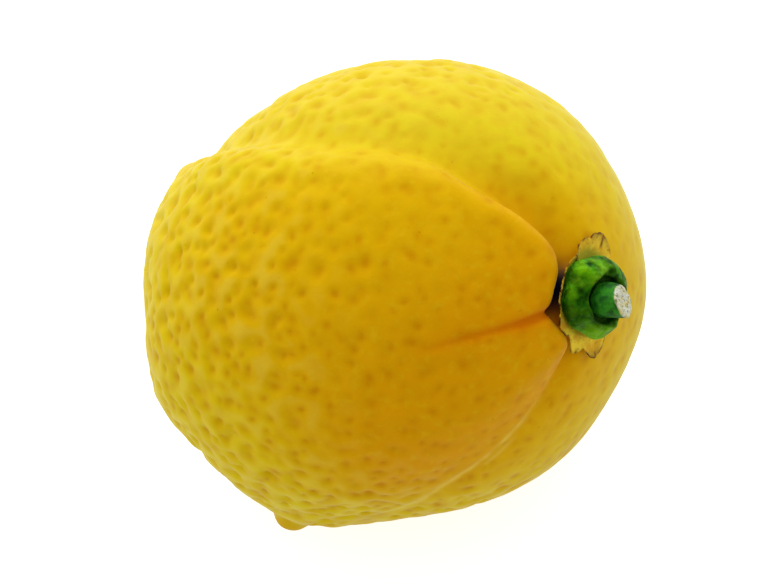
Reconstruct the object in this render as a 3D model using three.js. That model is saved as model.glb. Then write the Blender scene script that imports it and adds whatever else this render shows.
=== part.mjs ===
// A whole lemon with its calyx and a stub of stalk, lying on a small flat spot.
//
// The fruit is lopsided: one side has overgrown the other, so a thick front lobe overhangs the rest
// along a furrow that starts and ends at the stalk. Its skin is one radius for every direction from the
// middle of the fruit. A rounded body gives the first radius, then come swellings, the lobe, its furrow,
// a crease, the seat of the calyx, the nipple, the pits of the oil glands and the flat spot.
// The dried sepals, the green button and the stub of stalk are pieces of their own on the seat.
//
// Millimetres, +Z up, origin at the middle of the flat spot. A direction is a longitude (0 along +X,
// 90 along +Y) and a latitude (90 straight up), in degrees, seen from the middle of the fruit.

import * as THREE from 'three';
import { ConvexHull } from 'three/addons/math/ConvexHull.js';

// ---------------------------------------------------------------- driving dimensions

const CENTRE_HEIGHT = 26.9; // middle of the fruit above the flat spot
const MEAN_RADIUS = 30; // turns an angle at the middle into a length on the skin
const CORE = { lon: 5, lat: 36, half: 28.1, across: 27.8 }; // the rounded body, along and across
const LEAN = [2.6, 1.1, 0.3]; // how far the rounded body is pushed off the middle, along X, Y and Z
const STALK = { lon: -12.75, lat: 40 }; // where the stalk grew
const NIPPLE = { lon: -113.4, lat: -22, rise: 1.2, spread: 5, knob: 1.7, knobRadius: 2.5 };

const SWELLINGS = [ // broad highs and lows of the body: how far they spread in degrees, and their height
  { lon: 44, lat: 10, spread: 42, height: 2.1 },
  { lon: -161, lat: -5, spread: 40, height: 2.6 },
  { lon: -158, lat: -6, spread: 14, height: 0.9 },
  { lon: 160, lat: 5, spread: 18, height: 2.0 },
  { lon: -102, lat: -15, spread: 14, height: 1.5 },
  { lon: -122, lat: -18, spread: 14, height: 0.6 },
  { lon: -105, lat: -14, spread: 8, height: 0.8 },
  { lon: -40, lat: -10, spread: 20, height: 0.7 },
  { lon: 0, lat: -2, spread: 20, height: 1.4 },
  { lon: 147.5, lat: 8, spread: 7, height: 0.5 },
  { lon: 136, lat: 8, spread: 9, height: 0.3 },
  { lon: -128, lat: -8, spread: 9, height: 0.5 },
  { lon: 80, lat: 10, spread: 20, height: -0.5 },
  { lon: -12, lat: 38, spread: 20, height: 0.9 },
];

// The front lobe faces this way and fades towards the back.
const LOBE = { rise: 1.9, lon: -60, lat: 55, fadeFrom: -0.75, fadeTo: 0.15 };

// The lobe's edge, once round: direction, depth of its furrow, how wide the furrow opens towards the
// lobe and away from it, and how round the lobe's shoulder is. The lobe lies to the right of the way the
// points run.
const LOBE_EDGE = [
  [-118, -32, 0.0, 3.0, 3.0, 5.0],
  [-140, -46, 0.0, 3.0, 3.0, 4.5],
  [178, -42, 0.1, 3.0, 3.0, 4.5],
  [156, -20, 0.3, 2.4, 3.2, 3.2],
  [144.5, 0, 0.5, 1.4, 2.8, 1.6],
  [139, 21, 0.9, 2.2, 3.2, 2.4],
  [134, 36, 1.0, 3.0, 3.4, 3.4],
  [123.5, 54, 0.8, 3.2, 3.2, 3.8],
  [106, 63, 0.85, 3.0, 3.4, 3.8],
  [77, 66.5, 1.1, 2.6, 4.0, 3.4],
  [51, 66, 1.5, 2.2, 4.8, 2.8],
  [30, 63, 1.9, 1.9, 4.6, 2.4],
  [14, 56, 2.2, 1.6, 3.8, 2.1],
  [2.5, 49.5, 2.4, 1.3, 2.6, 1.9],
  [-7, 47.1, 2.6, 1.1, 1.9, 1.6],
  [-15.5, 46.7, 2.6, 1.0, 1.7, 1.6],
  [-20.3, 45.6, 2.0, 1.0, 1.5, 1.6],
  [-22, 41.6, 0.9, 1.0, 1.3, 1.5],
  [-25.3, 37.8, 1.0, 0.9, 1.5, 1.6],
  [-33, 35.2, 0.7, 0.7, 1.8, 2.6],
  [-44.3, 31.8, 0.45, 0.6, 1.8, 4.5],
  [-57.8, 26.5, 0.38, 0.6, 1.8, 6.5],
  [-71, 19.5, 0.34, 0.7, 1.8, 8.0],
  [-82, 8, 0.3, 0.9, 2.0, 8.0],
  [-94, -7, 0.25, 1.4, 2.4, 7.0],
  [-105, -20, 0.1, 3.0, 3.0, 5.5],
];

// The crease that runs from the stalk over the front lobe: direction, depth and half width.
const CREASE = [
  [-19.5, 46.3, 1.4, 0.8],
  [-22.5, 48.8, 1.0, 0.65],
  [-30.5, 53.4, 0.5, 0.5],
  [-38, 56.8, 0.32, 0.45],
  [-47, 59.6, 0.26, 0.45],
  [-57, 61.4, 0.2, 0.45],
  [-68, 62.3, 0.1, 0.5],
  [-80, 62.6, 0.0, 0.6],
];

// Shallow dish under the calyx: its depth, and how far it runs in degrees from the stalk.
const SEAT = { sink: 0.6, flatTo: 5.2, endsAt: 8.4 };

// Pits of the oil glands. They are shallow up to `shallowTo` degrees from the stalk, full from `fullFrom`.
const PITS = {
  count: 1120, depth: 0.42, least: 0.6, spread: 0.8,
  nearStalk: 0.3, shallowTo: 20, fullFrom: 70, seed: 7, jitter: 0.35,
};

// Extra rings of skin points that hold fine shapes: degrees from the middle, and how many points.
const SEAT_RINGS = [[3, 8], [5.6, 14], [8, 20], [10.6, 24]];
const NIPPLE_RINGS = [[1, 5], [3, 10], [4.8, 14], [6.6, 16]];
const FLAT_SPOT_RINGS = [[5, 3], [9.5, 9], [14, 16]];
// Clearance in mm between such rows, from them to a pit, and from them to the rim between pits.
const CLEAR = { rows: 0.7, pits: 1.5, rims: 1.0 };
const SHALLOWEST_ROW = 0.08; // a furrow or crease shallower than this gets no rows of its own
// Where rows run beside the crease and the furrow, in widths of theirs.
const BESIDE_CREASE = [0, -1, 1, -2, 2];
const BESIDE_FURROW = { onLobe: [0, 1, 2.1], outside: [0.6, 1.3] };

const GAP = 0.4; // clearance under the dried sepals, which rest on the seat
const SEPALS = {
  thickness: 0.62, base: 4.2, point: 1.6, liftFrom: 0.7, spokes: 64, rings: 4, seed: 23, ragged: 0.16,
};
// Points of the dried sepals: bearing, how far each reaches, its half width and how much its tip lifts.
const SEPAL_TIPS = [
  { bearing: 0, reach: 7.6, halfWidth: 34, lift: 0.5 },
  { bearing: 20, reach: 6.8, halfWidth: 26, lift: 0.45 },
  { bearing: 43, reach: 5.4, halfWidth: 30, lift: 0.4 },
  { bearing: 92, reach: 4.6, halfWidth: 46, lift: 0.4 },
  { bearing: 158, reach: 5.2, halfWidth: 30, lift: 0.3 },
  { bearing: 190, reach: 6.3, halfWidth: 24, lift: 0.3 },
  { bearing: 223, reach: 7.4, halfWidth: 28, lift: 0.3 },
  { bearing: 322, reach: 6.3, halfWidth: 26, lift: 0.3 },
];

// Half section of the button, from the middle of its underside round to the floor of its socket.
const BUTTON_SECTION = [
  [4.2, 0.75],
  [5.0, 1.1],
  [5.3, 1.8],
  [5.15, 2.5],
  [4.6, 3.15],
  [3.85, 3.65],
  [3.2, 3.75],
  [2.75, 3.4],
  [2.6, 2.6],
];
// The socket is round; towards its edge the button turns oval, lies off centre and is flat on one side.
const BUTTON = { floor: 2.4, sides: 32, lumps: 0.07, socket: 2.8, edge: 4.6, oval: 0.9, offCentre: 0.2 };
const BUTTON_FLAT = { turn: 262, halfWidth: 42, share: 0.2 };
// Lumps once round the button: how many, where they start, how they turn per mm of height, and their share.
const BUTTON_LUMPS = [
  { waves: 5, start: 0.6, twist: 0, share: 1 },
  { waves: 8, start: 2.1, twist: 1, share: 0.6 },
  { waves: 3, start: 4, twist: 0, share: 0.5 },
];
const BUTTON_CROWN = { from: 2.5, full: 3.4, rise: 2 }; // heights between which the lumps rise too
const STALK_SHIFT = { level: 0.05, uphill: -0.05 }; // button and stub, off the middle of the sepals
// Half section of the stub: radius, height, and how much of the cut's slope it takes.
const STUB_SECTION = [
  [2.05, 2.7, 0],
  [2.05, 3.6, 0],
  [1.97, 4.5, 0.2],
  [1.85, 5.65, 1],
  [1.8, 6.15, 1],
  [1.3, 6.2, 1],
];
const STUB = { sides: 18, oval: 0.05, ribbed: 0.03, hollowCut: 6.0 };
const CUT_SLOPE = { level: -0.5, uphill: 0.13 }; // how the cut end of the stub rises, per mm each way

// ---------------------------------------------------------------- directions and small sums

const DEGREE = Math.PI / 180;

function toward({ lon, lat }) {
  const ring = Math.cos(lat * DEGREE);
  const turn = lon * DEGREE;
  return new THREE.Vector3(ring * Math.cos(turn), ring * Math.sin(turn), Math.sin(lat * DEGREE));
}

function smoothStep(from, to, x) {
  const t = THREE.MathUtils.clamp((x - from) / (to - from), 0, 1);
  return t * t * (3 - 2 * t);
}

// Seeded draws between 0 and 1, the same at every run.
function draws(seed) {
  let state = seed >>> 0;
  return () => {
    state = (state + 0x6d2b79f5) >>> 0;
    let t = state;
    t = Math.imul(t ^ (t >>> 15), t | 1);
    t ^= t + Math.imul(t ^ (t >>> 7), t | 61);
    return ((t ^ (t >>> 14)) >>> 0) / 4294967296;
  };
}

const stalkAxis = toward(STALK);
const nippleAxis = toward(NIPPLE);
const coreAxis = toward(CORE);
const lean = new THREE.Vector3(...LEAN);
const lobeFace = toward(LOBE);
const swellings = SWELLINGS.map((swelling) => ({ ...swelling, axis: toward(swelling) }));

// Two directions square to the stalk: bearing 0 runs level, bearing 90 uphill.
const stalkLevel = new THREE.Vector3(0, 0, 1).cross(stalkAxis).normalize();
const stalkUphill = new THREE.Vector3().crossVectors(stalkAxis, stalkLevel);

function fromStalk(angle, bearing) {
  return new THREE.Vector3()
    .addScaledVector(stalkAxis, Math.cos(angle * DEGREE))
    .addScaledVector(stalkLevel, Math.sin(angle * DEGREE) * Math.cos(bearing * DEGREE))
    .addScaledVector(stalkUphill, Math.sin(angle * DEGREE) * Math.sin(bearing * DEGREE));
}

// ---------------------------------------------------------------- furrow and crease as lines on the skin

// A smooth line through the given directions, in short steps, each with its own depth and widths.
function skinLine(points, closed, steps = 12) {
  const knots = points.map(([lon, lat, ...rest]) => ({ at: toward({ lon, lat }), rest }));
  const count = knots.length;
  const knot = (i) => knots[closed ? (i + count) % count : THREE.MathUtils.clamp(i, 0, count - 1)];
  const line = [];
  const spans = closed ? count : count - 1;
  for (let i = 0; i < spans; i++) {
    for (let j = 0; j < steps; j++) {
      const t = j / steps;
      const weights = [
        -t + 2 * t * t - t ** 3,
        2 - 5 * t * t + 3 * t ** 3,
        t + 4 * t * t - 3 * t ** 3,
        t ** 3 - t * t,
      ];
      const at = new THREE.Vector3();
      const rest = knot(i).rest.map(() => 0);
      weights.forEach((weight, k) => {
        const from = knot(i + k - 1);
        at.addScaledVector(from.at, weight / 2);
        from.rest.forEach((value, n) => { rest[n] += (value * weight) / 2; });
      });
      line.push({ at: at.normalize(), rest: rest.map((value) => Math.max(value, 0)) });
    }
  }
  const last = line.length - 1;
  line.forEach((step, i) => {
    const next = closed && i === last ? 0 : Math.min(i + 1, last);
    const before = closed && i === 0 ? last : Math.max(i - 1, 0);
    step.along = new THREE.Vector3().subVectors(line[next].at, line[before].at);
    step.half = (step.along.length() * MEAN_RADIUS) / 4;
    step.along.normalize();
    step.inward = new THREE.Vector3().crossVectors(step.along, step.at).normalize();
  });
  return line;
}

// Nearest step of a line, the distance to it on the skin, and which side of the line it is on.
function nearest(direction, line) {
  let best = line[0];
  let bestDot = -2;
  for (const step of line) {
    const dot = step.at.dot(direction);
    if (dot > bestDot) {
      bestDot = dot;
      best = step;
    }
  }
  const offset = new THREE.Vector3().subVectors(direction, best.at).multiplyScalar(MEAN_RADIUS);
  const across = offset.dot(best.inward);
  const along = Math.max(Math.abs(offset.dot(best.along)) - best.half, 0);
  return { step: best, distance: Math.hypot(across, along), inside: across > 0 };
}

const lobeEdge = skinLine(LOBE_EDGE, true);
const crease = skinLine(CREASE, false);

// ---------------------------------------------------------------- the fruit's skin

function bodyRadius(direction) {
  const along = direction.dot(coreAxis);
  let radius = 1 / Math.sqrt((along / CORE.half) ** 2 + (1 - along * along) / CORE.across ** 2);
  radius += direction.dot(lean);
  for (const { axis, spread, height } of swellings) {
    const away = direction.angleTo(axis) / DEGREE;
    radius += height * Math.exp(-((away / spread) ** 2));
  }
  return radius;
}

// The way the body's skin faces at a direction, from two short steps to the side.
function skinNormal(direction, sideA, sideB, step = 0.001) {
  const point = (side) => {
    const turned = direction.clone().addScaledVector(side, step).normalize();
    return turned.multiplyScalar(bodyRadius(turned));
  };
  const here = direction.clone().multiplyScalar(bodyRadius(direction));
  return point(sideA).sub(here).cross(point(sideB).sub(here)).normalize();
}

// The body under the calyx, dished a little where the calyx sits.
function seatRadius(direction) {
  const away = direction.angleTo(stalkAxis) / DEGREE;
  return bodyRadius(direction) - SEAT.sink * smoothStep(SEAT.endsAt, SEAT.flatTo, away);
}

function skinRadius(direction) {
  let radius = bodyRadius(direction);

  const edge = nearest(direction, lobeEdge);
  const [furrow, lobeWidth, outerWidth, shoulder] = edge.step.rest;
  if (edge.inside) {
    const fade = smoothStep(LOBE.fadeFrom, LOBE.fadeTo, direction.dot(lobeFace));
    radius += LOBE.rise * fade * (1 - Math.exp(-((edge.distance / shoulder) ** 2)));
    radius -= furrow * Math.exp(-((edge.distance / lobeWidth) ** 2));
  } else {
    radius -= furrow * Math.exp(-((edge.distance / outerWidth) ** 2));
  }

  const fold = nearest(direction, crease);
  const [depth, halfWidth] = fold.step.rest;
  radius -= depth * Math.exp(-((fold.distance / halfWidth) ** 2));

  const seated = smoothStep(SEAT.endsAt, SEAT.flatTo, direction.angleTo(stalkAxis) / DEGREE);
  radius = THREE.MathUtils.lerp(radius, seatRadius(direction), seated);

  const fromTip = direction.angleTo(nippleAxis) * MEAN_RADIUS;
  radius += NIPPLE.rise * Math.exp(-((fromTip / NIPPLE.spread) ** 2));
  radius += NIPPLE.knob * Math.exp(-((fromTip / NIPPLE.knobRadius) ** 4));
  return radius;
}

// The flat spot cuts the skin off where it would reach below the surface that the fruit lies on.
function onSurface(direction, radius) {
  const floor = direction.z < 0 ? CENTRE_HEIGHT / -direction.z : Infinity;
  const point = direction.clone().multiplyScalar(Math.min(radius, floor));
  point.z += CENTRE_HEIGHT;
  if (radius >= floor) point.z = 0;
  return point;
}

// ---------------------------------------------------------------- closed meshes

// Joins directions spread over a ball into triangles: the hull of points on a ball touches them all.
function trianglesOver(directions) {
  const number = new Map(directions.map((direction, i) => [direction, i]));
  return new ConvexHull().setFromPoints(directions).faces.map((face) => {
    const { edge } = face;
    return [edge, edge.next, edge.prev].map((side) => number.get(side.head().point));
  });
}

function solid(points, triangles) {
  const geometry = new THREE.BufferGeometry();
  const numbers = points.flatMap((point) => [point.x, point.y, point.z]);
  geometry.setAttribute('position', new THREE.Float32BufferAttribute(numbers, 3));
  geometry.setIndex(triangles.flat());
  geometry.computeVertexNormals();
  return geometry;
}

// Rows of points, each row closed in a ring, with one point to close each end.
function stackedRings(rings, first, last) {
  const points = [first, ...rings.flat(), last];
  const sides = rings[0].length;
  const at = (ring, side) => 1 + ring * sides + (side % sides);
  const triangles = [];
  for (let side = 0; side < sides; side++) {
    triangles.push([0, at(0, side + 1), at(0, side)]);
    for (let ring = 0; ring + 1 < rings.length; ring++) {
      triangles.push([at(ring, side), at(ring, side + 1), at(ring + 1, side + 1)]);
      triangles.push([at(ring, side), at(ring + 1, side + 1), at(ring + 1, side)]);
    }
    triangles.push([at(rings.length - 1, side), at(rings.length - 1, side + 1), points.length - 1]);
  }
  return solid(points, triangles);
}

// ---------------------------------------------------------------- fruit

// Evenly spread directions, each moved a little at random.
function spreadDirections(count, jitter, random) {
  const golden = Math.PI * (3 - Math.sqrt(5));
  const step = Math.sqrt((4 * Math.PI) / count) * jitter;
  return Array.from({ length: count }, (_, i) => {
    const z = 1 - (2 * i + 1) / count;
    const ring = Math.sqrt(1 - z * z);
    const direction = new THREE.Vector3(ring * Math.cos(i * golden), ring * Math.sin(i * golden), z);
    const shift = new THREE.Vector3(random() - 0.5, random() - 0.5, random() - 0.5);
    return direction.addScaledVector(shift, step).normalize();
  });
}

// Rows of directions along a skin line: on it, and beside it at each given distance.
function rowsAlong(line, every, sides) {
  const rows = [];
  for (let i = 0; i < line.length; i += every) {
    const { at, inward, rest } = line[i];
    if (rest[0] < SHALLOWEST_ROW) continue;
    for (const side of sides(rest)) {
      rows.push(at.clone().addScaledVector(inward, side / MEAN_RADIUS).normalize());
    }
  }
  return rows;
}

function ringRound(axisPoint, angle, count) {
  const side = new THREE.Vector3(0.31, 0.57, 0.76).cross(axisPoint).normalize();
  const other = new THREE.Vector3().crossVectors(axisPoint, side);
  return Array.from({ length: count }, (_, i) => {
    const turn = ((i + 0.13) / count) * Math.PI * 2;
    return new THREE.Vector3()
      .addScaledVector(axisPoint, Math.cos(angle * DEGREE))
      .addScaledVector(side, Math.sin(angle * DEGREE) * Math.cos(turn))
      .addScaledVector(other, Math.sin(angle * DEGREE) * Math.sin(turn));
  });
}

function ringsRound(axisPoint, rings) {
  return rings.flatMap(([angle, count]) => ringRound(axisPoint, angle, count));
}

function keepClearOf(directions, others, millimetres) {
  const nearestDot = Math.cos(millimetres / MEAN_RADIUS);
  const clear = (direction) => others.every((other) => direction.dot(other) < nearestDot);
  return directions.filter(clear);
}

function makeFruit() {
  const down = new THREE.Vector3(0, 0, -1);
  const seatRows = ringsRound(stalkAxis, SEAT_RINGS);
  const nippleRows = ringsRound(nippleAxis, NIPPLE_RINGS);
  const flatRows = ringsRound(down, FLAT_SPOT_RINGS);

  const besideCrease = ([, width]) => BESIDE_CREASE.map((share) => share * width);
  const creaseRows = keepClearOf(rowsAlong(crease, 4, besideCrease), seatRows, CLEAR.rows);
  const besideFurrow = ([, inner, outer]) => [
    ...BESIDE_FURROW.onLobe.map((share) => share * inner),
    ...BESIDE_FURROW.outside.map((share) => -share * outer),
  ];
  const furrowRows = keepClearOf(
    rowsAlong(lobeEdge, 4, besideFurrow),
    [...seatRows, ...creaseRows],
    CLEAR.rows,
  );
  const rows = [...seatRows, ...nippleRows, ...flatRows, ...creaseRows, ...furrowRows];

  const random = draws(PITS.seed);
  const everyPit = spreadDirections(PITS.count, PITS.jitter, random);
  const rims = trianglesOver(everyPit).map((corners) => {
    const middle = new THREE.Vector3();
    corners.forEach((corner) => middle.add(everyPit[corner]));
    return middle.normalize();
  });
  const pits = keepClearOf(everyPit, rows, CLEAR.pits);
  const pitRims = keepClearOf(rims, rows, CLEAR.rims);

  const directions = [...pits, ...pitRims, ...rows];
  const skin = directions.map((direction, i) => {
    let radius = skinRadius(direction);
    if (i < pits.length) {
      const full = smoothStep(PITS.shallowTo, PITS.fullFrom, direction.angleTo(stalkAxis) / DEGREE);
      const strength = THREE.MathUtils.lerp(PITS.nearStalk, 1, full);
      radius -= PITS.depth * strength * (PITS.least + PITS.spread * random());
    }
    return onSurface(direction, radius);
  });
  return solid(skin, trianglesOver(directions));
}

// ---------------------------------------------------------------- calyx and stalk

// How far the dried sepals reach at a bearing: pointed lobes that join in a ragged margin.
function sepalEdge(bearing, random) {
  let reach = SEPALS.base;
  let lift = 0;
  for (const tip of SEPAL_TIPS) {
    const turn = THREE.MathUtils.euclideanModulo(bearing - tip.bearing + 180, 360) - 180;
    const share = Math.max(0, 1 - Math.abs(turn / tip.halfWidth) ** SEPALS.point);
    reach = Math.max(reach, SEPALS.base + (tip.reach - SEPALS.base) * share);
    lift = Math.max(lift, tip.lift * share);
  }
  return { reach: reach + SEPALS.ragged * (random() - 0.5), lift };
}

function makeSepals() {
  const random = draws(SEPALS.seed);
  const seatHeight = seatRadius(stalkAxis);
  const bearings = Array.from({ length: SEPALS.spokes }, (_, spoke) => (spoke * 360) / SEPALS.spokes);
  const margin = bearings.map((bearing) => sepalEdge(bearing, random));
  const ring = (share, up) => margin.map(({ reach, lift }, spoke) => {
    const angle = (reach * share) / seatHeight / DEGREE;
    const direction = fromStalk(angle, bearings[spoke]);
    const raised = lift * smoothStep(SEPALS.liftFrom, 1, share);
    return direction.multiplyScalar(seatRadius(direction) + GAP + raised + up);
  });
  const shares = Array.from({ length: SEPALS.rings }, (_, i) => (i + 1) / SEPALS.rings);
  const under = shares.map((share) => ring(share, 0));
  const over = [...shares].reverse().map((share) => ring(share, SEPALS.thickness));
  const middle = seatHeight + GAP;
  return stackedRings(
    [...under, ...over],
    stalkAxis.clone().multiplyScalar(middle),
    stalkAxis.clone().multiplyScalar(middle + SEPALS.thickness),
  );
}

// Thick, lumpy disc with a socket in its top. Local axis +Z points out along the stalk, +X runs level.
function makeButton() {
  const ring = ([radius, height]) => Array.from({ length: BUTTON.sides }, (_, side) => {
    const turn = (side / BUTTON.sides) * Math.PI * 2;
    const lump = BUTTON_LUMPS.reduce((sum, { waves, start, twist, share }) => (
      sum + BUTTON.lumps * share * Math.cos(waves * turn + start + twist * height)
    ), 0);
    const outer = smoothStep(BUTTON.socket, BUTTON.edge, radius);
    const fromFlat = (turn / DEGREE - BUTTON_FLAT.turn) / BUTTON_FLAT.halfWidth;
    const flat = BUTTON_FLAT.share * Math.exp(-(fromFlat ** 2)) * outer;
    const r = radius * (1 + 0.5 * lump * outer) * (1 - flat);
    const x = r * THREE.MathUtils.lerp(1, BUTTON.oval, outer) * Math.cos(turn) + BUTTON.offCentre * outer;
    const raised = BUTTON_CROWN.rise * lump * smoothStep(BUTTON_CROWN.from, BUTTON_CROWN.full, height);
    return new THREE.Vector3(x, r * Math.sin(turn), height + raised);
  });
  const underside = new THREE.Vector3(0, 0, BUTTON_SECTION[0][1]);
  const floor = new THREE.Vector3(0, 0, BUTTON.floor);
  return stackedRings(BUTTON_SECTION.map(ring), underside, floor);
}

// Short round stub, cut on a slope, with a worn rim. Local axis +Z points out along the stalk.
function makeStub() {
  const ring = ([radius, height, sloped]) => Array.from({ length: STUB.sides }, (_, side) => {
    const turn = (side / STUB.sides) * Math.PI * 2;
    const worn = 1 + STUB.oval * Math.cos(2 * turn + 1) + STUB.ribbed * Math.cos(7 * turn);
    const x = radius * worn * Math.cos(turn);
    const y = radius * worn * Math.sin(turn);
    return new THREE.Vector3(x, y, height + sloped * (CUT_SLOPE.level * x + CUT_SLOPE.uphill * y));
  });
  const foot = new THREE.Vector3(0, 0, STUB_SECTION[0][1]);
  const cut = new THREE.Vector3(0, 0, STUB.hollowCut);
  return stackedRings(STUB_SECTION.map(ring), foot, cut);
}

// ---------------------------------------------------------------- the lemon

function piece(name, geometry, color, roughness) {
  const mesh = new THREE.Mesh(geometry, new THREE.MeshStandardMaterial({ color, roughness, metalness: 0 }));
  mesh.name = name;
  return mesh;
}

const lemon = new THREE.Group();
lemon.add(piece('fruit', makeFruit(), 0xe8bb16, 0.42));

const sepals = piece('calyx_sepals', makeSepals(), 0xc9a24a, 0.8);
sepals.position.z = CENTRE_HEIGHT;
lemon.add(sepals);

// The button and the stub stand square to the skin under them.
const stalk = new THREE.Group();
const standing = skinNormal(stalkAxis, stalkLevel, stalkUphill);
const uphill = new THREE.Vector3().crossVectors(standing, stalkLevel).normalize();
const level = new THREE.Vector3().crossVectors(uphill, standing);
stalk.position.copy(stalkAxis).multiplyScalar(bodyRadius(stalkAxis));
stalk.position.addScaledVector(level, STALK_SHIFT.level).addScaledVector(uphill, STALK_SHIFT.uphill);
stalk.position.z += CENTRE_HEIGHT;
stalk.quaternion.setFromRotationMatrix(new THREE.Matrix4().makeBasis(level, uphill, standing));
stalk.add(piece('calyx_button', makeButton(), 0x2f8f1c, 0.45));
stalk.add(piece('stem_stub', makeStub(), 0x3f8f22, 0.6));
lemon.add(stalk);

export default lemon;
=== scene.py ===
import math

import bpy
import numpy as np
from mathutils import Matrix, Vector, kdtree, noise


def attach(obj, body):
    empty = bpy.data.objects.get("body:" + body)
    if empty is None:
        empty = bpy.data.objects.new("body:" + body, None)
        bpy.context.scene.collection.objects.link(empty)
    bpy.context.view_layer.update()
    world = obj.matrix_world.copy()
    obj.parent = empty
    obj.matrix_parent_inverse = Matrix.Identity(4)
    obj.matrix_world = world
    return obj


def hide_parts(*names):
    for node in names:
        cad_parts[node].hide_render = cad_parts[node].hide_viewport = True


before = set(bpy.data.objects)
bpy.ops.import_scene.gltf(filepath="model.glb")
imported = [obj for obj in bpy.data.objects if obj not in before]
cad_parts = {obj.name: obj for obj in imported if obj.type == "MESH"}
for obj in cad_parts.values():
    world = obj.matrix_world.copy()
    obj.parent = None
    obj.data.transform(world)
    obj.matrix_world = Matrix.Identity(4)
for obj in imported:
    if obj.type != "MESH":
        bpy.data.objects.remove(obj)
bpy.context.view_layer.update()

# ---------------------------------------------------------------- rind
# The rind is one thick waxy skin, grown with the fruit. One side has overgrown the other, so a front
# lobe overhangs the rest along a furrow that starts and ends at the stalk, and a crease runs over it.
# Oil glands sink into it as pits, deep on the cheek away from the stalk and faint near the stalk.

MM = 0.001
MEAN_RADIUS = 30.0
fruit_middle = np.array([0.0, 0.0, 26.9])


def toward(lon, lat):
    """Unit direction from the middle of the fruit: longitude and latitude in degrees."""
    lon, lat = np.radians(lon), np.radians(lat)
    return np.stack([np.cos(lat) * np.cos(lon), np.cos(lat) * np.sin(lon), np.sin(lat)], -1)


def ease(start, end, x):
    t = np.clip((x - start) / (end - start), 0, 1)
    return t * t * (3 - 2 * t)


def unit(v):
    return v / np.linalg.norm(v, axis=-1, keepdims=True)


def degrees_from(axis, u):
    return np.degrees(np.arccos(np.clip(u @ axis, -1, 1)))


stalk_axis = toward(-12.75, 40.0)
nipple_axis = toward(-113.4, -22.0)
core_axis = toward(5.0, 36.0)
core_half, core_across = 28.1, 27.8
core_lean = np.array([2.6, 1.1, 0.3])
# lon, lat and how far it spreads in degrees, then its height in mm
swellings = [
    (44, 10, 42, 2.1), (-161, -5, 40, 2.6), (-158, -6, 14, 0.9), (160, 5, 18, 2.0), (-102, -15, 14, 1.5),
    (-122, -18, 14, 0.6), (-105, -14, 8, 0.8), (-40, -10, 20, 0.7), (0, -2, 20, 1.4), (80, 10, 20, -0.5),
    (-12, 38, 20, 0.9), (147.5, 8, 7, 0.5), (136, 8, 9, 0.3), (-128, -8, 9, 0.5),
]
seat_sunk = 0.6
seat_ends, seat_flat_to = 8.4, 5.2  # degrees from the stalk
nipple_rise, nipple_spread = 1.2, 5.0
knob_rise, knob_radius = 1.7, 2.5
lobe_rise = 1.9
lobe_face = toward(-60.0, 55.0)
# lon, lat, then in mm the furrow's depth, how wide it opens towards the lobe and away from it, and how
# round the lobe's shoulder is
lobe_edge = [
    (-118, -32, 0.0, 3.0, 3.0, 5.0), (-140, -46, 0.0, 3.0, 3.0, 4.5), (178, -42, 0.1, 3.0, 3.0, 4.5),
    (156, -20, 0.3, 2.4, 3.2, 3.2), (144.5, 0, 0.5, 1.4, 2.8, 1.6), (139, 21, 0.9, 2.2, 3.2, 2.4),
    (134, 36, 1.0, 3.0, 3.4, 3.4), (123.5, 54, 0.8, 3.2, 3.2, 3.8), (106, 63, 0.85, 3.0, 3.4, 3.8),
    (77, 66.5, 1.1, 2.6, 4.0, 3.4), (51, 66, 1.5, 2.2, 4.8, 2.8), (30, 63, 1.9, 1.9, 4.6, 2.4),
    (14, 56, 2.2, 1.6, 3.8, 2.1), (2.5, 49.5, 2.4, 1.3, 2.6, 1.9), (-7, 47.1, 2.6, 1.1, 1.9, 1.6),
    (-15.5, 46.7, 2.6, 1.0, 1.7, 1.6), (-20.3, 45.6, 2.0, 1.0, 1.5, 1.6), (-22, 41.6, 0.9, 1.0, 1.3, 1.5),
    (-25.3, 37.8, 1.0, 0.9, 1.5, 1.6), (-33, 35.2, 0.7, 0.7, 1.8, 2.6), (-44.3, 31.8, 0.45, 0.6, 1.8, 4.5),
    (-57.8, 26.5, 0.38, 0.6, 1.8, 6.5), (-71, 19.5, 0.34, 0.7, 1.8, 8.0), (-82, 8, 0.3, 0.9, 2.0, 8.0),
    (-94, -7, 0.25, 1.4, 2.4, 7.0), (-105, -20, 0.1, 3.0, 3.0, 5.5),
]
# lon, lat, depth and half width in mm
crease = [
    (-19.5, 46.3, 1.4, 0.8), (-22.5, 48.8, 1.0, 0.65), (-30.5, 53.4, 0.5, 0.5), (-38, 56.8, 0.32, 0.45),
    (-47, 59.6, 0.26, 0.45), (-57, 61.4, 0.2, 0.45), (-68, 62.3, 0.1, 0.5), (-80, 62.6, 0.0, 0.6),
]


def curve_between(a, b, c, d, t):
    """A smooth curve from b to c, bent by the points a before it and d after it, at shares t of its way."""
    curve = (2 * t**2 - t - t**3) * a + (2 - 5 * t**2 + 3 * t**3) * b
    return (curve + (t + 4 * t**2 - 3 * t**3) * c + (t**3 - t**2) * d) / 2


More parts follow.
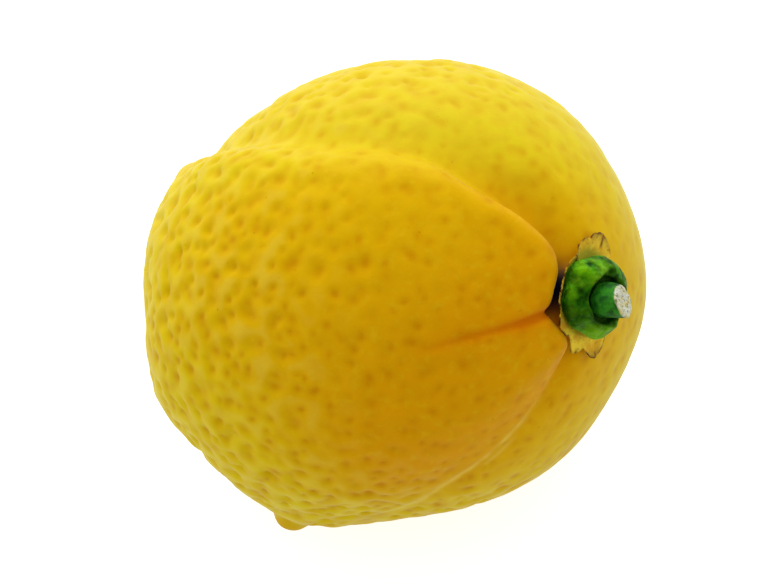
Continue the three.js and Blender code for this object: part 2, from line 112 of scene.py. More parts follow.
def skin_line(points, closed, steps=12):
    """A smooth line over the skin in short steps: place, way it runs, way to its right, and the rest."""
    points = np.array(points, float)
    knots = np.column_stack([toward(points[:, 0], points[:, 1]), points[:, 2:]])
    count = len(knots)
    t = np.linspace(0, 1, steps, endpoint=False)[:, None]
    parts = []
    for i in range(count if closed else count - 1):
        around = [i - 1, i, i + 1, i + 2]
        corners = [knots[k % count if closed else min(max(k, 0), count - 1)] for k in around]
        parts.append(curve_between(*corners, t))
    steps_on = np.concatenate(parts)
    at = unit(steps_on[:, :3])
    before, after = np.roll(at, 1, 0), np.roll(at, -1, 0)
    if not closed:
        before[0], after[-1] = at[0], at[-1]
    along = after - before
    half = np.linalg.norm(along, axis=1) * MEAN_RADIUS / 4
    along = unit(along)
    return {"at": at, "along": along, "right": unit(np.cross(along, at)), "half": half,
            "rest": np.maximum(steps_on[:, 3:], 0)}


def nearest_on(line, u):
    """Nearest step of the line to each direction: its number, the distance in mm, and the side."""
    step = np.concatenate([(part @ line["at"].T).argmax(1) for part in np.array_split(u, 16)])
    off = (u - line["at"][step]) * MEAN_RADIUS
    across = (off * line["right"][step]).sum(1)
    beyond = np.maximum(np.abs((off * line["along"][step]).sum(1)) - line["half"][step], 0)
    return step, np.hypot(across, beyond), across > 0


furrow_line = skin_line(lobe_edge, True)
crease_line = skin_line(crease, False)


def body_radius(u):
    along = u @ core_axis
    radius = 1 / np.sqrt((along / core_half) ** 2 + (1 - along**2) / core_across**2) + u @ core_lean
    for lon, lat, spread, height in swellings:
        radius = radius + height * np.exp(-((degrees_from(toward(lon, lat), u) / spread) ** 2))
    return radius


def seated(u):
    """How far the shallow seat of the calyx takes over from the skin, from 0 to 1."""
    return ease(seat_ends, seat_flat_to, degrees_from(stalk_axis, u))


def seat_radius(u):
    return body_radius(u) - seat_sunk * seated(u)


def skin_radius(u):
    radius = body_radius(u)
    step, away, on_lobe = nearest_on(furrow_line, u)
    depth, lobe_width, outer_width, shoulder = furrow_line["rest"][step].T
    full = ease(-0.75, 0.15, u @ lobe_face)
    raised = lobe_rise * full * (1 - np.exp(-((away / shoulder) ** 2)))
    inner = raised - depth * np.exp(-((away / lobe_width) ** 2))
    outer = -depth * np.exp(-((away / outer_width) ** 2))
    radius = radius + np.where(on_lobe, inner, outer)
    step, away, _ = nearest_on(crease_line, u)
    depth, width = crease_line["rest"][step].T
    radius = radius - depth * np.exp(-((away / width) ** 2))
    on_seat = seated(u)
    radius = radius * (1 - on_seat) + seat_radius(u) * on_seat
    from_tip = np.radians(degrees_from(nipple_axis, u)) * MEAN_RADIUS
    radius = radius + nipple_rise * np.exp(-((from_tip / nipple_spread) ** 2))
    return radius + knob_rise * np.exp(-((from_tip / knob_radius) ** 4))


def ball_net(n):
    """Directions on a ball in six nets of n by n squares, and the four corners of every square."""
    t = np.tan(np.linspace(-1, 1, n + 1) * math.pi / 4)
    a, b = np.meshgrid(t, t, indexing="ij")
    one = np.ones_like(a)
    nets = [(one, a, b), (-one, b, a), (b, one, a), (a, -one, b), (a, b, one), (b, a, -one)]
    points = unit(np.concatenate([np.stack(net, -1).reshape(-1, 3) for net in nets]))
    i, j = np.meshgrid(np.arange(n), np.arange(n), indexing="ij")
    corner = (i * (n + 1) + j).ravel()
    square = np.stack([corner, corner + n + 1, corner + n + 2, corner + 1], -1)
    squares = np.concatenate([square + k * (n + 1) ** 2 for k in range(6)])
    _, first, number = np.unique(np.round(points, 6), axis=0, return_index=True, return_inverse=True)
    return points[first], number.reshape(-1)[squares]


def skin_noise(points, size, seed):
    """Soft random highs and lows between -1 and 1, about `size` mm apart."""
    return np.array([noise.noise(Vector(p / size) + Vector((seed, 0, 0))) for p in points])


def finished_mesh(name, points, faces, **marks):
    """A smooth mesh object from points in mm, with values for its paint kept on the points."""
    mesh = bpy.data.meshes.new(name)
    mesh.from_pydata((points * MM).tolist(), [], faces if isinstance(faces, list) else faces.tolist())
    for label, values in marks.items():
        layer = mesh.attributes.new(label, "FLOAT", "POINT")
        layer.data.foreach_set("value", np.asarray(values, np.float32))
    mesh.polygons.foreach_set("use_smooth", np.ones(len(mesh.polygons), bool))
    mesh.update()
    made = bpy.data.objects.new(name, mesh)
    bpy.context.scene.collection.objects.link(made)
    return made


net_squares = 126
u, squares = ball_net(net_squares)
radius = skin_radius(u)
sunk = body_radius(u) - radius
from_stalk = degrees_from(stalk_axis, u)
from_nipple = degrees_from(nipple_axis, u)
edge_step, edge_away, on_lobe = nearest_on(furrow_line, u)

# Oil glands: evenly spread over the skin, each with its own size, depth, darkness, stretch and turn.
rng = np.random.default_rng(7)
gland_count = 2600
k = np.arange(gland_count)
z = 1 - (2 * k + 1) / gland_count
turn = k * math.pi * (3 - math.sqrt(5))
glands = np.stack([np.sqrt(1 - z * z) * np.cos(turn), np.sqrt(1 - z * z) * np.sin(turn), z], -1)
glands = unit(glands + rng.normal(0, 0.023, glands.shape))
gland_width = rng.uniform(0.55, 1.05, gland_count)
gland_depth = rng.uniform(0.35, 1.25, gland_count)
gland_dark = rng.uniform(0.25, 1.0, gland_count)
stretch = rng.uniform(1.0, 1.25, gland_count)
side = unit(np.cross(glands, rng.normal(0, 1, glands.shape)))
other = np.cross(glands, side)
tree = kdtree.KDTree(gland_count)
for number, gland in enumerate(glands):
    tree.insert(gland * MEAN_RADIUS, number)
tree.balance()
glands_in_reach = 5
close = np.array([[found[1] for found in tree.find_n(d * MEAN_RADIUS, glands_in_reach)] for d in u])
off = (u[:, None, :] - glands[close]) * MEAN_RADIUS
wide = gland_width[close] * stretch[close]
narrow = gland_width[close] / stretch[close]
reach = ((off * side[close]).sum(2) / wide) ** 2 + ((off * other[close]).sum(2) / narrow) ** 2
rough_cheek = 0.2 + 0.7 * ease(34, 100, from_stalk)
rough_cheek = np.maximum(rough_cheek, 0.75 * ease(0.45, 0.8, u[:, 1]) * ease(20, 50, from_stalk))
rough_cheek = np.maximum(rough_cheek, 0.7 * ease(0.5, 0.85, -u[:, 1]) * ease(30, 70, from_stalk))
rough_cheek = rough_cheek * ease(2, 12, from_nipple)
smooth_fold = 1 - 0.8 * np.exp(-((edge_away / 1.6) ** 2)) * ease(-0.4, 0.3, u @ lobe_face)
dimples = (gland_depth[close] * np.exp(-reach)).sum(1)
pit = np.clip((gland_dark[close] * np.exp(-reach * 1.6)).sum(1), 0, 1)
dot = np.clip((gland_dark[close] ** 2 * np.exp(-reach * 4)).sum(1), 0, 1) * ease(0.5, -0.2, u[:, 1])
# Painted highlight on the ridges between the pits, on the rough cheek.
ridge = (1 - ease(0, 0.5, np.exp(-reach * 0.7).sum(1))) * ease(0.3, 0.8, rough_cheek)
dimples = dimples * ease(7, 15, from_stalk) * smooth_fold
on_skin = u * MEAN_RADIUS
knobbly = skin_noise(on_skin, 5.5, 3) * 0.2 + skin_noise(on_skin, 2.4, 9) * 0.1 - 0.24
dimple_scale = 0.42
radius = radius - dimple_scale * rough_cheek * dimples + knobbly * rough_cheek * ease(8, 16, from_stalk)

# Where it rests, the skin is pressed flat on the board.
skin = u * radius[:, None] + fruit_middle
lying = np.maximum(-u[:, 2], 1e-6) * radius > fruit_middle[2]
skin[lying] = u[lying] * (fruit_middle[2] / -u[lying, 2])[:, None] + fruit_middle
skin[lying, 2] = 0.0

# The crease is an orange-brown line of its own with painted shade along it; the furrow, the pocket beside the
# calyx and the seat round the stalk get painted shade; the nipple tip has its own tone.
fold_step, fold_away, _ = nearest_on(crease_line, u)
crease_depth = crease_line["rest"][fold_step, 0]
fold = np.exp(-((fold_away / 0.55) ** 2)) * np.clip(crease_depth / 0.5, 0, 1)
fold_wide = np.exp(-((fold_away / 2.2) ** 2)) * np.clip(crease_depth / 0.4, 0, 1)
fold = np.clip(fold + 0.35 * fold_wide, 0, 1)
# Painted shade along the bottom of the furrow, stronger where the furrow is deeper.
valley = np.exp(-((edge_away / 1.6) ** 2)) * np.clip(furrow_line["rest"][edge_step, 0] / 2.0, 0, 1)
# Painted shade: near black in the deep pocket between the front lobe and the calyx.
pocket = np.exp(-((degrees_from(toward(-12.5, 46.6), u) / 6.2) ** 4)) * ease(-0.9, 0.3, sunk)
# Painted shade in the sunken seat round the stalk; the nipple tip's own deeper orange.
blush = ease(13, 7, from_stalk) * ease(-0.4, 0.3, sunk)
blush = np.maximum(blush, 0.8 * np.exp(-((from_nipple / 5.5) ** 2)))
# A thin pale line along the low edge of the front lobe, with a short one beside it: a painted highlight where
# that edge catches the light.
along_low_edge = np.exp(-((degrees_from(toward(-66, 20), u) / 24) ** 6))
uneven = 0.75 + 0.9 * skin_noise(on_skin, 1.6, 41)
scar = np.exp(-((edge_away / 0.45) ** 2)) * along_low_edge * np.clip(uneven, 0.15, 1)
outward = np.where(on_lobe, -edge_away, edge_away)
short_scar = np.exp(-((degrees_from(toward(-57, 24), u) / 5) ** 4))
scar = np.maximum(scar, 0.7 * short_scar * np.exp(-(((outward - 1.0) / 0.3) ** 2)))
# The skin is painted warmer round the stalk, along the crease and low on the front lobe: partly its own tone,
# partly painted shade on the side that faces up.
warm = 0.2 * ease(110, 40, from_stalk) * ease(0.6, 0.1, u[:, 1])
warm = warm + 0.4 * ease(0.2, 0.9, u[:, 2]) * ease(0.6, 0.1, u[:, 1])
warm = warm + 0.14 * ease(100, 50, from_stalk) * ease(0.1, -0.4, u[:, 1])
for lon, lat, wide_by in ((-30, 48, 22), (-80, 32, 26)):
    warm = warm + 0.5 * np.exp(-((degrees_from(toward(lon, lat), u) / wide_by) ** 2))
warm = np.clip(warm, 0, 1) * ease(0.5, 0.15, u[:, 1]) * (0.4 + 0.6 * ease(0.05, 0.4, u[:, 2]))
# The sides and the back are painted a paler yellow, a painted highlight of the light from the sides and
# behind. Pits stain the skin less on the sides and at the stalk end.
pale_side = ease(0.5, 0.1, u[:, 2] - 0.26 * u[:, 1]) * ease(-0.9, 0.3, u[:, 1] - 0.4 * u[:, 0])
pit = pit * (1 - 0.5 * pale_side) * (1 - 0.4 * ease(0.5, 0.85, u[:, 0]))
pale_side = np.maximum(pale_side, 0.5 * ease(0.1, 0.7, u[:, 1]))

rind = finished_mesh("rind", skin, squares, pit=pit, dot=dot, ridge=ridge, fold=fold, valley=valley,
                     pocket=pocket, warm=warm, pale_side=pale_side, blush=blush, scar=scar)


def effect(name, inputs, outputs):
    """A node group with named sockets: the group, its input node and its output node."""
    group = bpy.data.node_groups.new(name, "ShaderNodeTree")
    for label, kind, value in inputs:
        socket = group.interface.new_socket(name=label, in_out="INPUT", socket_type="NodeSocket" + kind)
        socket.default_value = value
    for label, kind in outputs:
        group.interface.new_socket(name=label, in_out="OUTPUT", socket_type="NodeSocket" + kind)
    return group, group.nodes.new("NodeGroupInput"), group.nodes.new("NodeGroupOutput")


def add(tree, kind, **settings):
    """A node of a kind in a tree. Settings that name one of its inputs fill that input."""
    node = tree.nodes.new(kind)
    for label, value in settings.items():
        if hasattr(node, label):
            setattr(node, label, value)
        else:
            node.inputs[label.replace("_", " ")].default_value = value
    return node


def lay(tree, start, *textures):
    """Lays textures on the piece, at the group's own `Size mm`."""
    place = add(tree, "ShaderNodeTexCoord")
    per_metre = add(tree, "ShaderNodeMath", operation="DIVIDE")
    per_metre.inputs[0].default_value = 1 / MM
    tree.links.new(start.outputs["Size mm"], per_metre.inputs[1])
    for texture in textures:
        tree.links.new(place.outputs["Object"], texture.inputs["Vector"])
        tree.links.new(per_metre.outputs[0], texture.inputs["Scale"])


# Patches: soft blotches of a chosen size, as a mask from 0 to 1.
patches, start, end = effect(
    "patches", [("Size mm", "Float", 4.0), ("Low", "Float", 0.4), ("High", "Float", 0.6)], [("Mask", "Float")]
)
cloud = add(patches, "ShaderNodeTexNoise", Detail=3.0, Roughness=0.55)
lay(patches, start, cloud)
spread = add(patches, "ShaderNodeMapRange")
patches.links.new(cloud.outputs["Fac"], spread.inputs["Value"])
patches.links.new(start.outputs["Low"], spread.inputs["From Min"])
patches.links.new(start.outputs["High"], spread.inputs["From Max"])
patches.links.new(spread.outputs["Result"], end.inputs["Mask"])

# Pores: fine grain and tiny pits, as a height from 0 to 1.
pores, start, end = effect(
    "pores", [("Size mm", "Float", 0.5), ("Pits", "Float", 0.5)], [("Height", "Float")]
)
grain = add(pores, "ShaderNodeTexNoise", Detail=4.0, Roughness=0.6)
cells = add(pores, "ShaderNodeTexVoronoi", feature="SMOOTH_F1", Smoothness=0.5)
lay(pores, start, grain, cells)
blend = add(pores, "ShaderNodeMix", data_type="FLOAT")
pores.links.new(start.outputs["Pits"], blend.inputs[0])
pores.links.new(grain.outputs["Fac"], blend.inputs[2])
pores.links.new(cells.outputs["Distance"], blend.inputs[3])
pores.links.new(blend.outputs[0], end.inputs["Height"])


def colour(red, green, blue):
    """A colour given as 0 to 255 screen values, as the linear values that the shader takes."""
    share = np.array([red, green, blue]) / 255
    return (*np.where(share < 0.04045, share / 12.92, ((share + 0.055) / 1.055) ** 2.4), 1.0)


def material(name, roughness, **plain):
    """A material with a Principled shader: its node tree and the shader."""
    made = bpy.data.materials.new(name)
    made.use_nodes = True
    shader = made.node_tree.nodes["Principled BSDF"]
    shader.inputs["Roughness"].default_value = roughness
    for label, value in plain.items():
        shader.inputs[label.replace("_", " ")].default_value = value
    return made, made.node_tree, shader


def use(tree, group, **values):
    """Places an effect in a material with its own values."""
    node = tree.nodes.new("ShaderNodeGroup")
    node.node_tree = group
    for label, value in values.items():
        node.inputs[label.replace("_", " ")].default_value = value
    return node


def painted(tree, label):
    """Reads a value painted on the mesh's points."""
    node = tree.nodes.new("ShaderNodeAttribute")
    node.attribute_name = label
    return node.outputs["Fac"]


def tint(tree, mask, under, over, share=1.0):
    """Lays the colour `over` on `under` where the mask says, and returns the mixed colour."""
    if share != 1.0:
        less = add(tree, "ShaderNodeMath", operation="MULTIPLY")
        tree.links.new(mask, less.inputs[0])
        less.inputs[1].default_value = share
        mask = less.outputs[0]
    mix = add(tree, "ShaderNodeMix", data_type="RGBA")
    tree.links.new(mask, mix.inputs[0])
    for socket, value in ((mix.inputs[6], under), (mix.inputs[7], over)):
        if isinstance(value, tuple):
            socket.default_value = value
        else:
            tree.links.new(value, socket)
    return mix.outputs[2]


def relief(tree, shader, height, millimetres, strength=1.0):
    """Fine relief of the surface, from a height between 0 and 1."""
    bump = add(tree, "ShaderNodeBump", Strength=strength, Distance=millimetres * MM)
    tree.links.new(height, bump.inputs["Height"])
    tree.links.new(bump.outputs["Normal"], shader.inputs["Normal"])


waxy_rind, nodes, shader = material("waxy_rind", 0.42, IOR=1.1, Specular_Tint=(1.0, 0.85, 0.3, 1.0),
                                     Sheen_Weight=0.26, Sheen_Roughness=0.2, Sheen_Tint=(0.8, 1.0, 0.6, 1.0))
broad = use(nodes, patches, Size_mm=14.0, Low=0.38, High=0.62)
small = use(nodes, patches, Size_mm=2.2, Low=0.4, High=0.64)
yellow = tint(nodes, broad.outputs["Mask"], colour(224, 202, 14), colour(222, 196, 8))
# Warmer orange: partly the skin's own tone, partly painted shade on the side that faces up.
yellow = tint(nodes, painted(nodes, "warm"), yellow, colour(224, 158, 2))
yellow = tint(nodes, small.outputs["Mask"], yellow, colour(206, 152, 0), 0.36)
pale = use(nodes, patches, Size_mm=1.1, Low=0.5, High=0.7)
yellow = tint(nodes, pale.outputs["Mask"], yellow, colour(236, 198, 26), 0.26)
# Painted highlight: paler yellow on the sides and the back.
yellow = tint(nodes, painted(nodes, "pale_side"), yellow, colour(230, 208, 66), 0.7)
yellow = tint(nodes, painted(nodes, "pit"), yellow, colour(202, 136, 0), 0.4)
yellow = tint(nodes, painted(nodes, "dot"), yellow, colour(192, 108, 0), 0.42)
# Painted highlight on the ridges between the pits.
yellow = tint(nodes, painted(nodes, "ridge"), yellow, colour(238, 220, 100), 0.16)
# Painted shade in the furrow.
yellow = tint(nodes, painted(nodes, "valley"), yellow, colour(210, 148, 0), 0.1)
# Painted shade in the seat round the stalk, and the nipple tip's own tone.
yellow = tint(nodes, painted(nodes, "blush"), yellow, colour(204, 128, 4), 0.6)
# The crease's own orange-brown line, with painted shade along it.
yellow = tint(nodes, painted(nodes, "fold"), yellow, colour(212, 104, 0), 0.75)
# Painted highlight along the low edge of the front lobe.
yellow = tint(nodes, painted(nodes, "scar"), yellow, colour(238, 206, 84), 0.65)
freckle = use(nodes, patches, Size_mm=0.7, Low=0.73, High=0.77)
yellow = tint(nodes, freckle.outputs["Mask"], yellow, colour(150, 76, 10), 0.6)
# Painted shade in the pocket beside the calyx.
yellow = tint(nodes, painted(nodes, "pocket"), yellow, colour(6, 12, 34))
nodes.links.new(yellow, shader.inputs["Base Color"])
fine = use(nodes, pores, Size_mm=0.75, Pits=0.45)
relief(nodes, shader, fine.outputs["Height"], 0.05, 0.7)
rind.data.materials.append(waxy_rind)
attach(rind, "root")
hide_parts("fruit")

# ---------------------------------------------------------------- dried sepals
# The sepals are what is left of the flower: a thin papery collar with ragged points, close on the
# seat round the stalk. They are dry and tan, with brown curled margins.

stalk_level = unit(np.cross([0.0, 0.0, 1.0], stalk_axis))
stalk_uphill = np.cross(stalk_axis, stalk_level)
sepal_base = 4.2
# bearing round the stalk, reach in mm, half width in degrees, lift of the point in mm
sepal_points = [(0, 7.6, 34, 0.5), (20, 6.8, 26, 0.45), (43, 5.4, 30, 0.4), (92, 4.6, 46, 0.4),
                (158, 5.2, 30, 0.3), (190, 6.3, 24, 0.3), (223, 7.4, 28, 0.3), (322, 6.3, 26, 0.3)]


def from_stalk_axis(angle, bearing):
    """Unit direction so many degrees from the stalk, at a bearing round it."""
    angle, bearing = np.radians(angle)[..., None], np.radians(bearing)[..., None]
    around = stalk_level * np.cos(bearing) + stalk_uphill * np.sin(bearing)
    return stalk_axis * np.cos(angle) + around * np.sin(angle)


def stacked(shape):
    """Quads between closed rows of points, for so many rows of so many points."""
    count, sides = shape
    i, j = np.meshgrid(np.arange(count - 1), np.arange(sides), indexing="ij")
    here, beside = i * sides + j, i * sides + (j + 1) % sides
    return np.stack([here, beside, beside + sides, here + sides], -1).reshape(-1, 4)


spokes, rings = 360, 22
bearing = np.arange(spokes) * 360 / spokes
reach = np.full(spokes, sepal_base)
lift = np.zeros(spokes)
for at, tip_reach, half_width, tip_lift in sepal_points:
    turned = (bearing - at + 180) % 360 - 180
    share = np.maximum(0, 1 - np.abs(turned / half_width) ** 1.6)
    reach = np.maximum(reach, sepal_base + (tip_reach - sepal_base) * share)
    lift = np.maximum(lift, tip_lift * share)
# Brown dry streaks: bearing, and from where to where they run out from the stalk, in mm.
brown_streaks = [
    (357, 5.7, 7.7), (222, 6.2, 7.9), (191, 5.6, 6.9), (47, 3.9, 5.5), (20, 6.1, 7.2), (333, 5.3, 6.4),
]
ring_place = np.stack([np.cos(np.radians(bearing)), np.sin(np.radians(bearing)), np.zeros(spokes)], -1)
ragged = skin_noise(ring_place * 5, 1.0, 31) * 0.3 + skin_noise(ring_place * 16, 1.0, 47) * 0.16
reach = reach + ragged - 0.05
collar_hole = 1.6
out = np.linspace(0, 1, rings)[:, None] ** 0.8
span = collar_hole + (reach - collar_hole) * out
seat_height = seat_radius(stalk_axis[None])[0]
sheet_u = from_stalk_axis(np.degrees(span / seat_height), np.broadcast_to(bearing, span.shape))
flat_u = sheet_u.reshape(-1, 3)
crumple = skin_noise(flat_u * MEAN_RADIUS, 1.1, 5).reshape(span.shape)
waves = skin_noise(flat_u * MEAN_RADIUS, 3.0, 15).reshape(span.shape)
curl = ease(0.8, 1.0, out)
height = 0.55 + lift * ease(0.62, 1, out) + 0.09 * crumple * ease(0.2, 0.6, out) + 0.16 * waves * curl
height = height + 0.2 * curl * (0.5 + 0.5 * np.sin(np.radians(bearing * 9)))
height = height + 0.45 * ease(0.7, 1.0, out) * np.exp(-(((bearing - 47) / 9) ** 2))
under = seat_radius(flat_u).reshape(span.shape) + np.maximum(height - 0.15, 0.3)
over = under + 0.3 - 0.14 * ease(0.7, 1.0, out)
top_sheet = sheet_u * over[..., None] + fruit_middle
bottom_sheet = sheet_u * under[..., None] + fruit_middle
rows = np.concatenate([bottom_sheet, top_sheet[::-1]])
faces = stacked((len(rows), spokes))
first = np.arange(spokes)
following = (first + 1) % spokes
last_row = (len(rows) - 1) * spokes
closing = np.stack([last_row + first, last_row + following, following, first], -1)
dry = ease(0.93, 1.0, out) * np.clip(0.45 + 1.5 * skin_noise(ring_place * 9, 1.0, 77), 0, 1)
dry = np.clip(dry + ease(0.7, 1.0, out) * ease(1.9, 3.0, reach - sepal_base) * 0.5, 0, 1)
for at, near_end, far_end in brown_streaks:
    turned = np.radians((bearing - at + 180) % 360 - 180)
    outward = span * np.cos(turned)
    streak = np.exp(-((span * np.sin(turned) / 0.24) ** 2)) * ease(near_end, near_end + 0.6, outward)
    dry = np.maximum(dry, 0.9 * streak * ease(far_end + 0.4, far_end, outward))
dry = np.concatenate([dry, dry[::-1]])
# The tallest sepals are tinted green where they leave the button.
fresh = ease(6.2, 4.8, span) * np.exp(-((((bearing + 180) % 360 - 190) / 42) ** 2))
fresh = np.concatenate([fresh, fresh[::-1]])
sepals = finished_mesh("dried_sepals", rows.reshape(-1, 3), np.concatenate([faces, closing]), dry=dry.ravel(),
                       fresh=fresh.ravel())
papery, nodes, shader = material("papery_sepal", 0.62, IOR=1.15)
blotch = use(nodes, patches, Size_mm=1.6, Low=0.42, High=0.62)
tan = tint(nodes, blotch.outputs["Mask"], colour(252, 216, 56), colour(232, 178, 34))
fleck = use(nodes, patches, Size_mm=0.5, Low=0.6, High=0.68)
tan = tint(nodes, fleck.outputs["Mask"], tan, colour(140, 92, 30), 0.5)
tan = tint(nodes, painted(nodes, "fresh"), tan, colour(64, 112, 14), 0.7)
tan = tint(nodes, painted(nodes, "dry"), tan, colour(84, 36, 18))
nodes.links.new(tan, shader.inputs["Base Color"])
fibres = use(nodes, pores, Size_mm=0.35, Pits=0.2)
relief(nodes, shader, fibres.outputs["Height"], 0.08, 0.8)
sepals.data.materials.append(papery)
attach(sepals, "root")
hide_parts("calyx_sepals")

# ---------------------------------------------------------------- green button
# The button is the living part of the calyx: a thick lumpy green disc over the sepals, with a socket
# in its top where the stalk comes out.

small_step = 0.001
here = stalk_axis * body_radius(stalk_axis[None])[0]
near = [unit(stalk_axis + way * small_step) for way in (stalk_level, stalk_uphill)]
level_point, uphill_point = (d * body_radius(d[None])[0] for d in near)
standing = unit(np.cross(level_point - here, uphill_point - here))
uphill = unit(np.cross(standing, stalk_level))
level = np.cross(uphill, standing)
foot_shift = 0.05
stalk_foot = here + level * foot_shift - uphill * foot_shift + fruit_middle

# distance from the stalk's line and height over its foot, in mm, from the underside up to the socket
button_section = [
    (0.02, 0.24), (2.2, 0.22), (3.9, 0.24), (4.6, 0.55), (5.1, 1.2), (5.3, 1.8), (5.15, 2.5),
    (4.6, 3.15), (3.85, 3.65), (3.2, 3.75), (2.75, 3.4), (2.6, 2.6), (1.4, 2.4), (0.02, 2.4),
]


def smooth_section(points, per_span):
    """A smooth open line through the points of a half section."""
    points = np.array(points, float)
    padded = np.vstack([points[:1], points, points[-1:]])
    t = np.linspace(0, 1, per_span, endpoint=False)[:, None]
    parts = []
    for corners in zip(padded, padded[1:], padded[2:], padded[3:]):
        parts.append(curve_between(*corners, t))
    return np.vstack([*parts, points[-1:]])


def capped(shape):
    """Quads between closed rows of points, with a face across each end."""
    count, sides = shape
    ends = [list(range(sides))[::-1], list(range((count - 1) * sides, count * sides))]
    return stacked(shape).tolist() + ends


def on_stalk(x, y, z):
    """Points in the stalk's own frame, put in place on the fruit."""
    return x[..., None] * level + y[..., None] * uphill + z[..., None] * standing + stalk_foot


sides = 160
line = smooth_section(button_section, 7)
turn = np.arange(sides) * 2 * math.pi / sides
r, h = line[:, :1], line[:, 1:]
fine_lump = 0.6 * np.cos(8 * turn + 2.1 + h)
lump = 0.07 * (np.cos(5 * turn + 0.6) + fine_lump + 0.5 * np.cos(3 * turn + 4))
outer = ease(2.8, 4.6, r)
flat_side = 0.2 * np.exp(-(((np.degrees(turn) - 262) / 42) ** 2))
wide = r * (1 + 0.5 * lump * outer) * (1 - flat_side * outer)
x = wide * (1 - 0.1 * outer) * np.cos(turn) + 0.2 * outer
y = wide * np.sin(turn)
z = h + 2 * lump * ease(2.5, 3.4, h)
bare = np.stack([x, y, z], -1).reshape(-1, 3)
knobs = skin_noise(bare, 1.5, 21) * 0.3 + skin_noise(bare, 0.7, 23) * 0.12
knobs = knobs.reshape(x.shape) * ease(1.0, 2.2, h) * ease(2.5, 3.4, r)
x = x - 0.06 * outer * np.cos(turn) + knobs * 0.5 * np.cos(turn) * outer
y = y - 0.06 * outer * np.sin(turn) + knobs * 0.5 * np.sin(turn) * outer
z = z + np.minimum(knobs, 0.12) - 0.05
button_points = on_stalk(x, y, z)
# Painted shade in the socket where the stalk comes out.
hollow = np.clip(ease(3.3, 2.6, r) * ease(1.0, 2.0, h) + 0 * turn, 0, 1)
round_it = np.degrees(turn)
# Painted highlight on the tops of the knobs, strongest on two sides of the button, and a bright band low on
# one side of the rim.
sunny = np.exp(-(((round_it - 50) / 45) ** 2)) + np.exp(-(((round_it - 195) / 28) ** 2))
crown = np.clip(knobs * 3 + 0.5, 0, 1) * ease(1.4, 2.8, h) * (0.25 + 0.75 * np.clip(sunny, 0, 1))
crown = np.maximum(crown, 0.85 * np.exp(-(((round_it - 188) / 24) ** 2)) * ease(0.9, 1.5, h) * outer)
shaded = np.exp(-(((round_it - 125) / 42) ** 2)) * np.clip(0.8 - knobs * 3, 0, 1)
button = finished_mesh("green_button", button_points.reshape(-1, 3), capped(x.shape),
                       hollow=hollow.ravel(), crown=crown.ravel(), shaded=shaded.ravel())
green_skin, nodes, shader = material("green_skin", 0.5, IOR=1.2, Specular_Tint=(0.7, 1.0, 0.1, 1.0))
mottle = use(nodes, patches, Size_mm=1.1, Low=0.43, High=0.58)
green = tint(nodes, mottle.outputs["Mask"], colour(8, 58, 0), colour(56, 140, 0))
green = tint(nodes, painted(nodes, "shaded"), green, colour(10, 60, 6), 0.75)
dark_patch = use(nodes, patches, Size_mm=1.8, Low=0.5, High=0.6)
green = tint(nodes, dark_patch.outputs["Mask"], green, colour(8, 54, 4), 0.7)
# Painted highlight on the knob tops.
green = tint(nodes, painted(nodes, "crown"), green, colour(130, 196, 16), 0.85)
# Painted shade in the socket round the stalk.
green = tint(nodes, painted(nodes, "hollow"), green, colour(6, 40, 4), 0.85)
nodes.links.new(green, shader.inputs["Base Color"])
warts = use(nodes, pores, Size_mm=0.55, Pits=0.5)
relief(nodes, shader, warts.outputs["Height"], 0.4)
button.data.materials.append(green_skin)
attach(button, "root")
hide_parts("calyx_button")

# ---------------------------------------------------------------- stub of stalk
# The stub is what the picking shears left of the stalk: green skin round a dry woody core, cut on a
# slope. The cut end has dried pale grey, with tan fibres and dark specks.

# distance from the stalk's line and height over its foot, in mm, from the lower end up to the cut
stub_section = [
    (0.02, 2.72), (1.4, 2.72), (1.98, 2.75), (2.02, 3.3), (1.98, 3.8), (1.93, 4.4), (1.9, 5.0),
    (1.85, 5.6), (1.82, 5.95), (1.72, 6.12), (1.45, 6.16), (0.9, 6.12), (0.4, 6.06), (0.02, 6.04),
]
sides = 96
line = smooth_section(stub_section, 5)
turn = np.arange(sides) * 2 * math.pi / sides
r, h = line[:, :1], line[:, 1:]
worn = 1 + 0.05 * np.cos(2 * turn + 1) + 0.025 * np.cos(7 * turn) + 0.012 * np.cos(19 * turn)
x, y = r * worn * np.cos(turn), r * worn * np.sin(turn)
sloped = ease(4.4, 5.6, h)
z = h + (0.13 * y - 0.5 * x) * sloped
bare = np.stack([x, y, z], -1).reshape(-1, 3)
fibre = (skin_noise(bare * np.array([1, 1, 0.2]), 0.35, 61) * 0.1).reshape(x.shape) * ease(5.9, 6.1, h)
z = z + np.minimum(fibre, 0.04) - 0.05 * ease(5.5, 6.0, h)
cut = ease(5.75, 6.05, h + 0.25 * skin_noise(bare, 0.7, 63).reshape(x.shape))
stub_points = on_stalk(x, y, z)
stub = finished_mesh("cut_stub", stub_points.reshape(-1, 3), capped(x.shape), cut=cut.ravel())
cut_stalk, nodes, shader = material("cut_stalk", 0.6, IOR=1.3)
streak = use(nodes, patches, Size_mm=1.2, Low=0.4, High=0.6)
bark = tint(nodes, streak.outputs["Mask"], colour(16, 84, 6), colour(44, 132, 14))
wood_patch = use(nodes, patches, Size_mm=0.7, Low=0.42, High=0.6)
wood = tint(nodes, wood_patch.outputs["Mask"], colour(206, 208, 192), colour(200, 190, 124))
speck = use(nodes, patches, Size_mm=0.32, Low=0.55, High=0.62)
wood = tint(nodes, speck.outputs["Mask"], wood, colour(92, 94, 54), 0.8)
nodes.links.new(tint(nodes, painted(nodes, "cut"), bark, wood), shader.inputs["Base Color"])
grain_height = use(nodes, pores, Size_mm=0.28, Pits=0.35)
relief(nodes, shader, grain_height.outputs["Height"], 0.1, 0.9)
stub.data.materials.append(cut_stalk)
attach(stub, "root")
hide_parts("stem_stub")

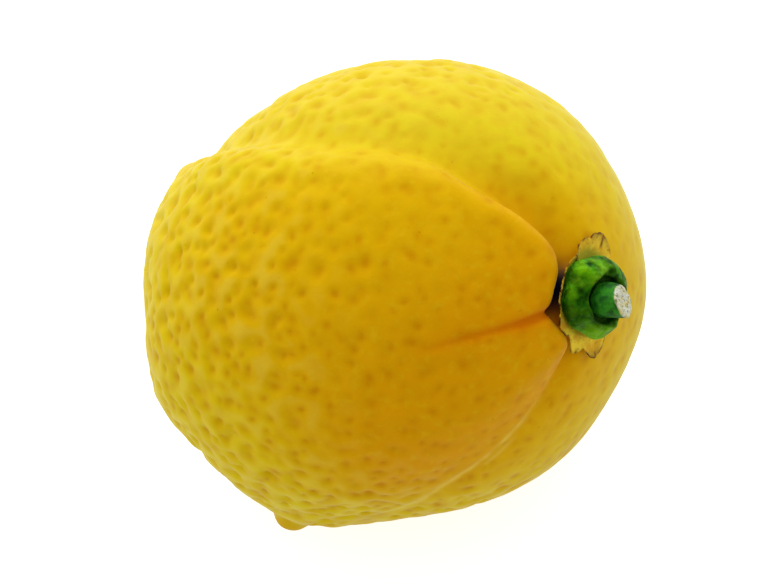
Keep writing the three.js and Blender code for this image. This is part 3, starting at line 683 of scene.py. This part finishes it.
# ---------------------------------------------------------------- studio
# A pale sheet of board to lie on, soft white light from all sides, and the camera, which looks
# steeply down on the fruit with the stalk to the right.

far = 3.0
board = bpy.data.meshes.new("board")
board.from_pydata([(-far, -far, 0), (far, -far, 0), (far, far, 0), (-far, far, 0)], [], [(0, 1, 2, 3)])
floor = bpy.data.objects.new("board", board)
bpy.context.scene.collection.objects.link(floor)
pale_board, nodes, shader = material("pale_board", 0.9)
shader.inputs["Base Color"].default_value = (0.84, 0.84, 0.84, 1)
shader.inputs["Specular IOR Level"].default_value = 0.1
shader.inputs["Emission Color"].default_value = (1, 1, 1, 1)
seen = add(nodes, "ShaderNodeLightPath")
lit = add(nodes, "ShaderNodeMath", operation="MULTIPLY_ADD")
nodes.links.new(seen.outputs["Is Camera Ray"], lit.inputs[0])
glow_on_fruit, more_glow_seen = 0.26, 0.32
lit.inputs[1].default_value = more_glow_seen
lit.inputs[2].default_value = glow_on_fruit
nodes.links.new(lit.outputs[0], shader.inputs["Emission Strength"])
floor.data.materials.append(pale_board)

world = bpy.data.worlds.new("studio")
world.use_nodes = True
air = world.node_tree
ray = add(air, "ShaderNodeTexCoord")
facing = add(air, "ShaderNodeVectorMath", operation="DOT_PRODUCT")
air.links.new(ray.outputs["Generated"], facing.inputs[0])
brighter_towards = (0.02, 0.32, 0.0)
facing.inputs[1].default_value = brighter_towards
tent = add(air, "ShaderNodeMapRange", From_Min=-0.5, From_Max=0.5, To_Min=0.27, To_Max=1.27)
air.links.new(facing.outputs["Value"], tent.inputs["Value"])
air.links.new(tent.outputs["Result"], air.nodes["Background"].inputs["Strength"])
air.nodes["Background"].inputs["Color"].default_value = (1.0, 1.0, 1.0, 1)
bpy.context.scene.world = world
bpy.context.scene.view_settings.view_transform = "Standard"

lamp_target = Vector((0, 0, 0.027))


def softbox(name, place, size, power):
    """A square lamp that faces the fruit. Place and size in metres, power in watts."""
    lamp = bpy.data.lights.new(name, "AREA")
    lamp.shape, lamp.size, lamp.energy = "SQUARE", size, power
    made = bpy.data.objects.new(name, lamp)
    made.location = place
    made.rotation_euler = (lamp_target - Vector(place)).to_track_quat("-Z", "Y").to_euler()
    bpy.context.scene.collection.objects.link(made)


softbox("back_softbox", (-0.1, 0.66, 0.34), 0.5, 2.0)
softbox("left_softbox", (-0.66, 0.12, 0.26), 0.4, 0.4)

# Framing, in pixels of a view 780 wide: the lens, and how far the fruit is off the middle.
view_width = 780
lens_pixels = 2439
left_by, down_by = 10, 6.5
sensor_width = 36
camera_distance = 0.3
camera_data = bpy.data.cameras.new("camera")
camera_data.sensor_width = sensor_width
camera_data.lens = lens_pixels / view_width * sensor_width
camera_data.shift_x = left_by / view_width
camera_data.shift_y = down_by / view_width
camera_data.clip_start = 0.01
camera = bpy.data.objects.new("camera", camera_data)
elevation = math.radians(75)
back = Vector((0, -math.cos(elevation), math.sin(elevation)))
camera.location = Vector(fruit_middle * MM) + back * camera_distance
camera.rotation_euler = back.to_track_quat("Z", "Y").to_euler()
bpy.context.scene.collection.objects.link(camera)
bpy.context.scene.camera = camera

bpy.context.view_layer.update()
